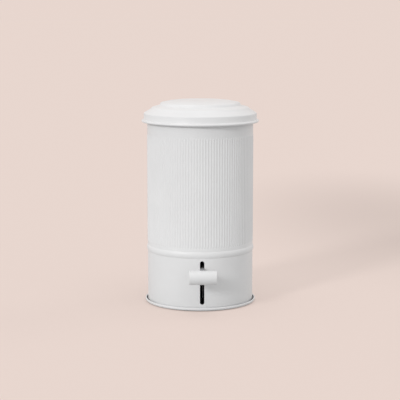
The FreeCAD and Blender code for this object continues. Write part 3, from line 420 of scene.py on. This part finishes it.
def hoop_corners(radius, bend):
    """The hoop that is rolled into the wall, from its foot upwards."""
    return [
        (radius, HOOP_HEIGHT - HOOP_HALF, HOOP_ROOT),
        (radius + HOOP_PEAK, HOOP_HEIGHT, bend),
        (radius, HOOP_HEIGHT + HOOP_HALF, HOOP_ROOT),
    ]


def shell_corners():
    """The shell's section: up its outer face, over the curled rim and down its inner face."""
    inner = SHELL_RADIUS - SHEET
    middle = SHELL_RADIUS - SHEET / 2
    curl_low = SHELL_TOP - RIM_CURL * 2
    corners = [(SHELL_FLANGE, SHELL_FOOT, 0), (SHELL_RADIUS, SHELL_FOOT, SHELL_FOOT_BEND)]
    corners += hoop_corners(SHELL_RADIUS, HOOP_BEND)
    corners += [(SHELL_RADIUS, height, 0) for height in rib_rows()]
    corners += [
        (SHELL_RADIUS, curl_low, CURL_FILLET),
        (middle + RIM_CURL, curl_low, RIM_CURL_FOOT_BEND),
        (middle + RIM_CURL, SHELL_TOP, RIM_CURL),
        (middle - RIM_CURL, SHELL_TOP, RIM_CURL),
        (middle - RIM_CURL, curl_low, RIM_CURL_FOOT_BEND),
        (inner, curl_low, CURL_FILLET),
    ]
    corners += reversed(hoop_corners(inner, HOOP_BEND - SHEET))
    corners += [(inner, SHELL_FOOT + SHEET, SHELL_FOOT_BEND), (SHELL_FLANGE, SHELL_FOOT + SHEET, 0)]
    return corners


def shell():
    """The rolled shell: one rib's sector is shaped and copied all round, then slot and window are cut."""
    bm = bmesh.new()
    rounded_wire(bm, shell_corners(), closed=True)
    sector = TAU / RIB_COUNT
    turn = {
        "cent": (0, 0, 0),
        "axis": (0, 0, 1),
        "dvec": (0, 0, 0),
        "use_normal_flip": False,
        "use_merge": False,
    }
    section = bm.verts[:] + bm.edges[:]
    bmesh.ops.spin(bm, geom=section, angle=sector, steps=RIB_COLUMNS, use_duplicate=False, **turn)
    lift_ribs(bm)
    rib = bm.verts[:] + bm.edges[:] + bm.faces[:]
    bmesh.ops.spin(bm, geom=rib, angle=TAU - sector, steps=RIB_COUNT - 1, use_duplicate=True, **turn)
    close_up(bm)
    piece = new_object("ribbed_shell", bm)
    combine(piece, stadium_cutter(SLOT_WIDTH, SLOT_LOW, SLOT_HIGH, -SHELL_RADIUS), "DIFFERENCE")
    combine(piece, stadium_cutter(WINDOW_WIDTH, WINDOW_LOW, WINDOW_HIGH, SHELL_RADIUS), "DIFFERENCE")
    settle(piece)
    return piece


def pan():
    """The shallow pan that the shell stands in, with a rolled top edge."""
    bm = bmesh.new()
    corners = [
        (0, PAN_BOTTOM, 0),
        (PAN_WALL_OUTER, PAN_BOTTOM, PAN_BEND),
        (PAN_WALL_OUTER, PAN_CURL_LOW, CURL_FILLET),
        (PAN_RADIUS, PAN_CURL_LOW, PAN_CURL_FOOT_BEND),
        (PAN_RADIUS, PAN_TOP, PAN_CURL_BEND),
        (PAN_CURL_INNER, PAN_TOP, PAN_CURL_BEND),
        (PAN_CURL_INNER, PAN_CURL_LOW, PAN_CURL_FOOT_BEND),
        (PAN_WALL_INNER, PAN_CURL_LOW, CURL_FILLET),
        (PAN_WALL_INNER, PAN_FLOOR, PAN_BEND / 2),
        (0, PAN_FLOOR, 0),
    ]
    rounded_wire(bm, corners, closed=False)
    spin_round(bm)
    smooth_shading(bm)
    return new_object("rolled_pan", bm)


def foot():
    """The ring that the bin stands on, grooved on its underside."""
    bm = bmesh.new()
    corners = [(FOOT_INNER, 0, FOOT_EDGE)]
    for middle in FOOT_GROOVES:
        corners += [
            (middle - FOOT_GROOVE_HALF, 0, 0),
            (middle - FOOT_GROOVE_HALF / 2, FOOT_GROOVE_DEPTH, 0),
            (middle + FOOT_GROOVE_HALF / 2, FOOT_GROOVE_DEPTH, 0),
            (middle + FOOT_GROOVE_HALF, 0, 0),
        ]
    corners += [
        (FOOT_OUTER, 0, FOOT_EDGE),
        (FOOT_OUTER, FOOT_TOP, FOOT_EDGE),
        (FOOT_INNER, FOOT_TOP, FOOT_EDGE),
    ]
    rounded_wire(bm, corners, closed=True)
    spin_round(bm)
    smooth_shading(bm)
    return new_object("foot_grip", bm)


def lid():
    """The pressed lid: a stepped dome and an upright skirt with a rolled edge."""
    bm = bmesh.new()
    corners = [(radius * MM, height * MM, bend * MM) for radius, height, bend in LID_SKIN]
    rounded_wire(bm, corners, closed=False)
    spin_round(bm)
    crown = max(bm.faces, key=lambda face: face.calc_center_median().z)
    if crown.normal.z < 0:
        bmesh.ops.reverse_faces(bm, faces=bm.faces[:])
    bmesh.ops.solidify(bm, geom=bm.faces[:], thickness=SHEET)
    bmesh.ops.remove_doubles(bm, verts=bm.verts[:], dist=MERGE_DISTANCE)
    smooth_shading(bm)
    return new_object("domed_lid", bm)


def lay_along_pedal(bm):
    """Turn what stands on the Z axis to lie along the pedal's own axis."""
    level = Matrix.Rotation(QUARTER_TURN, 3, "Y")
    bmesh.ops.rotate(bm, verts=bm.verts[:], cent=(0, 0, 0), matrix=level)
    bmesh.ops.translate(bm, verts=bm.verts[:], vec=(0, -PEDAL_SETBACK, PEDAL_HEIGHT))


def pedal_roll():
    """The roll underfoot, bored for its axle, with a recess at the back for the lever."""
    bm = bmesh.new()
    corners = [
        (PEDAL_BORE, -PEDAL_HALF, PEDAL_BORE_EDGE),
        (PEDAL_RADIUS, -PEDAL_HALF, PEDAL_EDGE),
        (PEDAL_RADIUS, PEDAL_HALF, PEDAL_EDGE),
        (PEDAL_BORE, PEDAL_HALF, PEDAL_BORE_EDGE),
    ]
    rounded_wire(bm, corners, closed=True)
    spin_round(bm, PEDAL_STEPS)
    lay_along_pedal(bm)
    piece = new_object("pedal_roll_soft", bm)
    length = PEDAL_RADIUS * 2
    middle = -PEDAL_SETBACK - RECESS_FRONT + length / 2
    recess = block((RECESS_WIDTH, length, RECESS_DEPTH), (0, middle, PEDAL_HEIGHT))
    combine(piece, new_object("cutter", recess), "DIFFERENCE")
    settle(piece)
    return piece


def pedal_plugs():
    """A plug in each end of the roll's bore, with a softened edge and a dimple."""
    bm = bmesh.new()
    corners = [
        (0, PEDAL_HALF - PLUG_DEPTH, 0),
        (PLUG_RADIUS, PEDAL_HALF - PLUG_DEPTH, 0),
        (PLUG_RADIUS, PEDAL_HALF, PLUG_EDGE),
        (DIMPLE_RADIUS, PEDAL_HALF, DIMPLE_BEND),
        (DIMPLE_FLOOR_RADIUS, PEDAL_HALF - PLUG_EDGE, DIMPLE_BEND),
        (0, PEDAL_HALF - PLUG_EDGE, 0),
    ]
    rounded_wire(bm, corners, closed=False)
    spin_round(bm, PLUG_STEPS)
    made = bmesh.ops.duplicate(bm, geom=bm.verts[:] + bm.edges[:] + bm.faces[:])
    copied = [item for item in made["geom"] if isinstance(item, bmesh.types.BMVert)]
    half_turn = Matrix.Rotation(TAU / 2, 3, "X")
    bmesh.ops.rotate(bm, verts=copied, cent=(0, 0, 0), matrix=half_turn)
    lay_along_pedal(bm)
    smooth_shading(bm)
    return new_object("pedal_plugs", bm)


def bucket():
    """The tapered bucket: rounded base, turned-down rim and a lug on each side for the bail."""
    bm = bmesh.new()
    shoulder = BUCKET_TOP - BUCKET_WALL
    lip_inner = BUCKET_RIM - BUCKET_WALL
    lip_low = BUCKET_TOP - BUCKET_LIP_DEPTH
    corners = [
        (0, BUCKET_BOTTOM, 0),
        (BUCKET_BASE, BUCKET_BOTTOM, BUCKET_BASE_BEND),
        (BUCKET_NECK, shoulder, BUCKET_EDGE),
        (lip_inner, shoulder, BUCKET_EDGE),
        (lip_inner, lip_low, LIP_EDGE),
        (BUCKET_RIM, lip_low, LIP_EDGE),
        (BUCKET_RIM, BUCKET_TOP, BUCKET_EDGE),
        (BUCKET_NECK - BUCKET_WALL, BUCKET_TOP, BUCKET_EDGE),
        (BUCKET_BASE - BUCKET_WALL, BUCKET_BOTTOM + BUCKET_WALL, BUCKET_BASE_BEND - BUCKET_WALL),
        (0, BUCKET_BOTTOM + BUCKET_WALL, 0),
    ]
    rounded_wire(bm, corners, closed=False)
    spin_round(bm)
    piece = new_object("tapered_bucket", bm)
    lug_size = (LUG_FACE - LUG_ROOT, LUG_HALF_WIDTH * 2, LUG_HALF_RISE * 2)
    for side in (-1, 1):
        lug = block(lug_size, ((LUG_FACE + LUG_ROOT) / 2 * side, 0, LUG_HEIGHT))
        bmesh.ops.bevel(
            lug,
            geom=lug.edges[:],
            offset=LUG_EDGE,
            offset_type="OFFSET",
            segments=LUG_EDGE_SEGMENTS,
            profile=0.5,
            affect="EDGES",
            material=-1,
        )
        combine(piece, new_object("lug", lug), "UNION")
    settle(piece)
    return piece


def softened(node, name, width):
    """A frame node's own shape, shaded smooth and with its edges rounded to a width."""
    bm = bmesh.new()
    bm.from_mesh(frame["nodes"][node].data)
    bmesh.ops.remove_doubles(bm, verts=bm.verts[:], dist=MERGE_DISTANCE)
    bmesh.ops.dissolve_limit(
        bm,
        angle_limit=FLAT_ANGLE,
        use_dissolve_boundaries=False,
        verts=bm.verts[:],
        edges=bm.edges[:],
    )
    smooth_shading(bm)
    piece = new_object(name, bm)
    if width:
        modifier = piece.modifiers.new("soft edges", "BEVEL")
        modifier.width = width
        modifier.segments = SOFT_SEGMENTS
        modifier.limit_method = "ANGLE"
        modifier.angle_limit = SHARP_ANGLE
        modifier.use_clamp_overlap = True
        modifier.harden_normals = True
    return piece


def new_material(name):
    """A material with a clean surface shader, its node tree and the coordinates that its patterns read."""
    material = bpy.data.materials.new(name)
    material.use_nodes = True
    tree = material.node_tree
    tree.nodes.clear()
    output = tree.nodes.new("ShaderNodeOutputMaterial")
    shader = tree.nodes.new("ShaderNodeBsdfPrincipled")
    tree.links.new(shader.outputs["BSDF"], output.inputs["Surface"])
    coordinates = tree.nodes.new("ShaderNodeTexCoord").outputs["Object"]
    return material, tree, shader, coordinates


def noise(tree, coordinates, size, detail=2.0, stretch=None):
    """A noise whose blobs have a size in metres, drawn out along an axis where stretch says so."""
    if stretch:
        mapping = tree.nodes.new("ShaderNodeMapping")
        mapping.inputs["Scale"].default_value = stretch
        tree.links.new(coordinates, mapping.inputs["Vector"])
        coordinates = mapping.outputs["Vector"]
    texture = tree.nodes.new("ShaderNodeTexNoise")
    texture.inputs["Scale"].default_value = 1 / size
    texture.inputs["Detail"].default_value = detail
    tree.links.new(coordinates, texture.inputs["Vector"])
    return texture.outputs["Fac"]


def ramp(tree, value, start, end, low=0.0, high=1.0):
    """Go from a low at the start to a high at the end."""
    node = tree.nodes.new("ShaderNodeMapRange")
    node.inputs["From Min"].default_value = start
    node.inputs["From Max"].default_value = end
    node.inputs["To Min"].default_value = low
    node.inputs["To Max"].default_value = high
    tree.links.new(value, node.inputs["Value"])
    return node.outputs["Result"]


def calculate(tree, operation, first, second):
    """What a Math node makes of two values."""
    node = tree.nodes.new("ShaderNodeMath")
    node.operation = operation
    tree.links.new(first, node.inputs[0])
    tree.links.new(second, node.inputs[1])
    return node.outputs["Value"]


def blend(tree, factor, first, second):
    """One colour where the factor is zero, another where it is one."""
    node = tree.nodes.new("ShaderNodeMix")
    node.data_type = "RGBA"
    node.inputs["A"].default_value = (*first, 1)
    node.inputs["B"].default_value = (*second, 1)
    tree.links.new(factor, node.inputs["Factor"])
    return node.outputs["Result"]


def tint(tree, pattern, dark, light):
    """Shade between two colours by a pattern's middle range."""
    return blend(tree, ramp(tree, pattern, PATTERN_LOW, PATTERN_HIGH), dark, light)


def roughen(tree, shader, pattern, least, most):
    """An uneven gloss, from a pattern's middle range."""
    roughness = ramp(tree, pattern, PATTERN_LOW, PATTERN_HIGH, least, most)
    tree.links.new(roughness, shader.inputs["Roughness"])


def bump(tree, shader, height, depth, strength):
    """A relief of a depth in metres under the surface's normals."""
    node = tree.nodes.new("ShaderNodeBump")
    node.inputs["Distance"].default_value = depth
    node.inputs["Strength"].default_value = strength
    tree.links.new(height, node.inputs["Height"])
    tree.links.new(node.outputs["Normal"], shader.inputs["Normal"])


def painted_gutter_shade(tree, coordinates):
    """Painted shade: one down in the gutter between shell and pan, zero elsewhere."""
    level = tree.nodes.new("ShaderNodeMapping")
    level.inputs["Scale"].default_value = (1, 1, 0)
    tree.links.new(coordinates, level.inputs["Vector"])
    radius = tree.nodes.new("ShaderNodeVectorMath")
    radius.operation = "LENGTH"
    tree.links.new(level.outputs["Vector"], radius.inputs[0])
    height = tree.nodes.new("ShaderNodeSeparateXYZ")
    tree.links.new(coordinates, height.inputs["Vector"])
    shade_level = ramp(tree, height.outputs["Z"], *GUTTER_TOP)
    for edge in (GUTTER_INNER, GUTTER_OUTER):
        shade_level = calculate(tree, "MULTIPLY", shade_level, ramp(tree, radius.outputs["Value"], *edge))
    return shade_level


def white_enamel():
    """Satin powder coat: near white, with a fine orange peel, an uneven gloss and painted shade in the
    gutter.
    """
    material, tree, shader, coordinates = new_material("white_enamel")
    clean = tint(tree, noise(tree, coordinates, **COAT_CLOUD), *COAT_COLOURS)
    # Painted shade: the coat is mixed towards a dark colour down in the gutter, where shade falls.
    gutter_shaded = tree.nodes.new("ShaderNodeMix")
    gutter_shaded.data_type = "RGBA"
    gutter_shaded.inputs["B"].default_value = (*GUTTER_SHADE_COLOUR, 1)
    tree.links.new(painted_gutter_shade(tree, coordinates), gutter_shaded.inputs["Factor"])
    tree.links.new(clean, gutter_shaded.inputs["A"])
    tree.links.new(gutter_shaded.outputs["Result"], shader.inputs["Base Color"])
    roughen(tree, shader, noise(tree, coordinates, **COAT_GLOSS), *COAT_ROUGHNESS)
    bump(tree, shader, noise(tree, coordinates, **COAT_PEEL), **COAT_RELIEF)
    shader.inputs["Specular IOR Level"].default_value = SATIN_SPECULAR
    return material


def white_plastic():
    """Moulded white plastic with a faint flow cloud and a fine satin grain."""
    material, tree, shader, coordinates = new_material("white_plastic")
    cloud = noise(tree, coordinates, **MOULDED_CLOUD)
    tree.links.new(tint(tree, cloud, *MOULDED_COLOURS), shader.inputs["Base Color"])
    roughen(tree, shader, noise(tree, coordinates, **MOULDED_GLOSS), *MOULDED_ROUGHNESS)
    bump(tree, shader, noise(tree, coordinates, **MOULDED_GRAIN), **MOULDED_RELIEF)
    shader.inputs["Specular IOR Level"].default_value = SATIN_SPECULAR
    return material


def zinc_steel():
    """Zinc-plated steel: cool grey metal with a cloudy plating and fine drawn scratches."""
    material, tree, shader, coordinates = new_material("zinc_steel")
    cloud = noise(tree, coordinates, **ZINC_CLOUD)
    tree.links.new(tint(tree, cloud, *ZINC_COLOURS), shader.inputs["Base Color"])
    scratch = noise(tree, coordinates, **ZINC_SCRATCH)
    roughen(tree, shader, scratch, *ZINC_ROUGHNESS)
    bump(tree, shader, scratch, **ZINC_RELIEF)
    shader.inputs["Metallic"].default_value = 1.0
    return material


def black_plastic():
    """Matt black moulded plastic with a fine grain."""
    material, tree, shader, coordinates = new_material("black_plastic")
    cloud = noise(tree, coordinates, **BLACK_CLOUD)
    tree.links.new(tint(tree, cloud, *BLACK_COLOURS), shader.inputs["Base Color"])
    roughen(tree, shader, noise(tree, coordinates, **BLACK_GLOSS), *BLACK_ROUGHNESS)
    bump(tree, shader, noise(tree, coordinates, **BLACK_GRAIN), **BLACK_RELIEF)
    return material


def black_rubber():
    """Dull black rubber with a bloom like dust."""
    material, tree, shader, coordinates = new_material("black_rubber")
    bloom = noise(tree, coordinates, **RUBBER_BLOOM)
    tree.links.new(tint(tree, bloom, *RUBBER_COLOURS), shader.inputs["Base Color"])
    roughen(tree, shader, bloom, *RUBBER_ROUGHNESS)
    bump(tree, shader, noise(tree, coordinates, **RUBBER_GRAIN), **RUBBER_RELIEF)
    shader.inputs["Specular IOR Level"].default_value = RUBBER_SPECULAR
    return material


def seen(tree):
    """One for rays that show the background itself, zero for those that only light."""
    path = tree.nodes.new("ShaderNodeLightPath")
    shown = path.outputs["Is Camera Ray"]
    for kind in ("Is Glossy Ray", "Is Transmission Ray"):
        shown = calculate(tree, "MAXIMUM", shown, path.outputs[kind])
    return shown


def floor_shade(tree, coordinates):
    """The floor's glow, which falls off softly towards the middle of the shade."""
    mapping = tree.nodes.new("ShaderNodeMapping")
    mapping.vector_type = "TEXTURE"
    mapping.inputs["Location"].default_value = SHADE_CENTRE
    mapping.inputs["Scale"].default_value = SHADE_REACH
    tree.links.new(coordinates, mapping.inputs["Vector"])
    gradient = tree.nodes.new("ShaderNodeTexGradient")
    gradient.gradient_type = "SPHERICAL"
    tree.links.new(mapping.outputs["Vector"], gradient.inputs["Vector"])
    level = tree.nodes.new("ShaderNodeMapRange")
    level.interpolation_type = "SMOOTHSTEP"
    level.inputs["To Min"].default_value = FLOOR_GLOW
    level.inputs["To Max"].default_value = FLOOR_GLOW * (1 - SHADE_DEPTH)
    tree.links.new(gradient.outputs["Fac"], level.inputs["Value"])
    return level.outputs["Result"]


def floor():
    """A wide level floor that shows the bin's shadow faintly."""
    bm = bmesh.new()
    bmesh.ops.create_circle(bm, cap_ends=True, segments=ROUND_STEPS, radius=FLOOR_RADIUS)
    piece = new_object("floor", bm)
    material, tree, shader, coordinates = new_material("pale_floor")
    shown = seen(tree)
    shaded = tuple(part * (1 - FLOOR_GLOW) for part in FLOOR_TINT)
    tree.links.new(blend(tree, shown, FLOOR_GREY, shaded), shader.inputs["Base Color"])
    glow = calculate(tree, "MULTIPLY", shown, floor_shade(tree, coordinates))
    tree.links.new(glow, shader.inputs["Emission Strength"])
    shader.inputs["Emission Color"].default_value = (*FLOOR_TINT, 1)
    shader.inputs["Roughness"].default_value = 1.0
    shader.inputs["Specular IOR Level"].default_value = 0.0
    piece.data.materials.append(material)


def light():
    """An even surrounding light, a soft key from the left and weaker light from the right and above."""
    scene = bpy.context.scene
    world = bpy.data.worlds.new("studio")
    world.use_nodes = True
    scene.world = world
    tree = world.node_tree
    tree.nodes.clear()
    output = tree.nodes.new("ShaderNodeOutputWorld")
    background = tree.nodes.new("ShaderNodeBackground")
    tree.links.new(background.outputs["Background"], output.inputs["Surface"])
    horizon = tuple(part * HORIZON_LEVEL for part in FLOOR_TINT)
    tree.links.new(blend(tree, seen(tree), AMBIENT, horizon), background.inputs["Color"])
    for name, (turn, rise, energy, width) in LAMPS.items():
        lamp = bpy.data.lights.new(name, "SUN")
        lamp.energy = energy
        lamp.angle = math.radians(width)
        holder = bpy.data.objects.new(name, lamp)
        holder.rotation_euler = (QUARTER_TURN - math.radians(rise), 0, -math.radians(turn))
        scene.collection.objects.link(holder)


def camera():
    """The camera, placed and aimed, with a long lens."""
    data = bpy.data.cameras.new("camera")
    data.sensor_width = CAMERA_SENSOR
    data.lens = CAMERA_LENS
    holder = bpy.data.objects.new("camera", data)
    holder.location = (
        CAMERA_DISTANCE * math.sin(CAMERA_TURN),
        -CAMERA_DISTANCE * math.cos(CAMERA_TURN),
        CAMERA_HEIGHT,
    )
    holder.rotation_euler = (QUARTER_TURN - CAMERA_PITCH, 0, CAMERA_TURN + CAMERA_AIM)
    bpy.context.scene.collection.objects.link(holder)
    bpy.context.scene.camera = holder


FINISHES = {
    "white_enamel": white_enamel(),
    "white_plastic": white_plastic(),
    "zinc_steel": zinc_steel(),
    "black_plastic": black_plastic(),
    "black_rubber": black_rubber(),
}


def coat(piece, slot):
    """Give a piece the one finish of its slot."""
    piece.data.materials.clear()
    piece.data.materials.append(FINISHES[slot])


def fit(piece, body, slot, *nodes):
    """Give a piece its finish, its body and the nodes that it stands for."""
    coat(piece, slot)
    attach(piece, body)
    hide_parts(*nodes)


for row in frame["record"]["subparts"]:
    coat(frame["nodes"][row["node"]], row["material_slot"])

fit(shell(), "bin", "white_enamel", "body_shell")
fit(pan(), "bin", "white_enamel", "base_pan")
fit(foot(), "bin", "black_rubber", "foot_ring")
fit(lid(), "lid", "white_enamel", "lid_shell")
fit(pedal_roll(), "pedal", "white_plastic", "pedal_roll")
fit(pedal_plugs(), "pedal", "white_plastic", "pedal_caps")
fit(bucket(), "bucket", "black_plastic", "inner_bucket")
for node, name, body, slot, edge in SOFTENED:
    fit(softened(node, name, edge * MM), body, slot, node)

floor()
light()
camera()
bpy.context.scene.view_settings.view_transform = "Standard"
